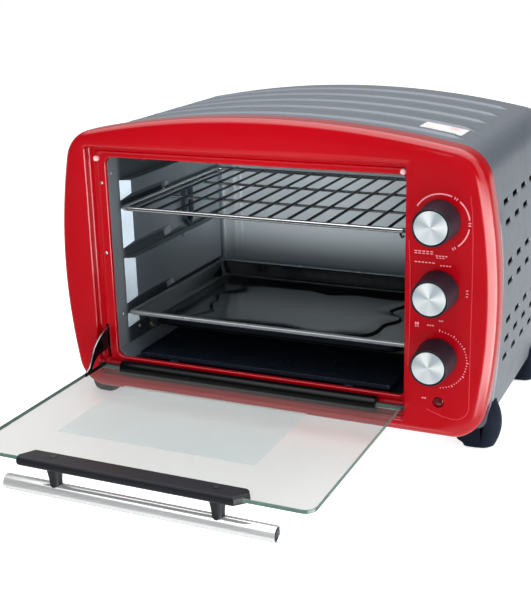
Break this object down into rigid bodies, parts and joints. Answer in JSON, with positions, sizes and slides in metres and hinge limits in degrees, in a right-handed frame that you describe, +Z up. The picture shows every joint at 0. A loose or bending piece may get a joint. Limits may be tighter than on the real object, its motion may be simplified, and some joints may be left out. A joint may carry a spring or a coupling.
{
  "type": "toaster oven",
  "caption": "Countertop toaster oven with a drop-down glass door, arched grey steel casing, glossy red front, three knobs, wire rack and baking tray.",
  "frame": {"origin": "on the table, under the middle of the oven's box with its door open", "axes": "+X to the right seen from the front, +Y from front to back, +Z up"},
  "size_m": [0.478, 0.5454, 0.325],
  "materials": {
    "red_gloss": "high gloss",
    "casing_grey": "satin powder coat",
    "cavity_steel": "satin, cool grey",
    "inner_steel": "galvanised",
    "tray_enamel": "glossy black enamel",
    "rack_wire": "bright plated wire",
    "glass": "clear tempered",
    "film": "clear satin film",
    "black_plastic": "fine texture",
    "black_metal": "satin black",
    "knob_plastic": "satin violet grey",
    "knob_cap": "circular spun",
    "handle_chrome": "mirror",
    "foot_rubber": "satin moulded",
    "bumper": "soft",
    "screw_steel": "plated",
    "heater": "heat-tinted",
    "ceramic": "unglazed ceramic",
    "label": "blank sticker",
    "lens": "clear dark red",
    "lamp": "neon lamp",
    "brass": "plain",
    "body_plastic": "moulded",
    "phenolic": "laminate"
  },
  "bodies": {
    "root": {"front_bezel": "red_gloss", "outer_wrap": "casing_grey", "back_panel": "casing_grey", "base_panel": "inner_steel", "cavity_left_wall": "cavity_steel", "cavity_right_wall": "cavity_steel", "cavity_back_wall": "cavity_steel", "cavity_roof": "cavity_steel", "cavity_floor": "cavity_steel", "heat_shield": "inner_steel", "control_bracket": "inner_steel", "upper_heaters": "heater", "lower_heaters": "heater", "heater_insulators": "ceramic", "thermostat_body": "body_plastic", "selector_body": "phenolic", "timer_body": "inner_steel", "control_nuts": "brass", "indicator_lens": "lens", "indicator_lamp": "lamp", "spit_bracket": "cavity_steel", "spit_motor": "inner_steel", "terminal_block": "ceramic", "cord_bushing": "black_plastic", "door_bumpers": "bumper", "back_screws": "screw_steel", "top_label": "label", "foot_front_left": "foot_rubber", "foot_front_right": "foot_rubber", "foot_rear_left": "foot_rubber", "foot_rear_right": "foot_rubber", "foot_screws": "screw_steel"},
    "door": {"door_glass": "glass", "door_rail": "black_metal", "hinge_rod": "screw_steel", "hinge_arm": "black_metal", "handle_plate": "black_plastic", "handle_posts": "black_plastic", "handle_tube": "handle_chrome", "handle_end_caps": "black_plastic", "handle_screws": "screw_steel", "door_film": "film"},
    "thermostat_knob": {"knob_thermostat": "knob_plastic", "knob_cap_thermostat": "knob_cap", "shaft_thermostat": "screw_steel"},
    "selector_knob": {"knob_selector": "knob_plastic", "knob_cap_selector": "knob_cap", "shaft_selector": "screw_steel"},
    "timer_knob": {"knob_timer": "knob_plastic", "knob_cap_timer": "knob_cap", "shaft_timer": "screw_steel"},
    "rack": {"rack_frame": "rack_wire", "rack_wires": "rack_wire", "rack_cross_wires": "rack_wire"},
    "tray": {"baking_tray": "tray_enamel"},
    "crumbs": {"crumb_tray": "inner_steel"},
    "spit": {"spit_socket": "inner_steel"}
  },
  "joints": [
    {"name": "door_hinge", "type": "hinge", "parent": "root", "child": "door", "pos_m": [0, -0.03175, 0.0455], "axis": [1, 0, 0], "range_deg": [-90, 0]},
    {"name": "thermostat_turn", "type": "hinge", "parent": "root", "child": "thermostat_knob", "pos_m": [0.1838, -0.04525, 0.2389], "axis": [0, 1, 0], "range_deg": [0, 300]},
    {"name": "selector_turn", "type": "hinge", "parent": "root", "child": "selector_knob", "pos_m": [0.1838, -0.04525, 0.1715], "axis": [0, 1, 0], "range_deg": [0, 180]},
    {"name": "timer_turn", "type": "hinge", "parent": "root", "child": "timer_knob", "pos_m": [0.1838, -0.04525, 0.1041], "axis": [0, 1, 0], "range_deg": [-30, 300]},
    {"name": "rack_slide", "type": "slide", "parent": "root", "child": "rack", "axis": [0, -1, 0], "range_m": [0, 0.17]},
    {"name": "tray_slide", "type": "slide", "parent": "root", "child": "tray", "axis": [0, -1, 0], "range_m": [0, 0.17]},
    {"name": "crumb_tray_slide", "type": "slide", "parent": "root", "child": "crumbs", "axis": [0, -1, 0], "range_m": [0, 0.2]},
    {"name": "spit_drive", "type": "hinge", "parent": "root", "child": "spit", "pos_m": [0.15, 0.12875, 0.18], "axis": [1, 0, 0], "continuous": true}
  ]
}
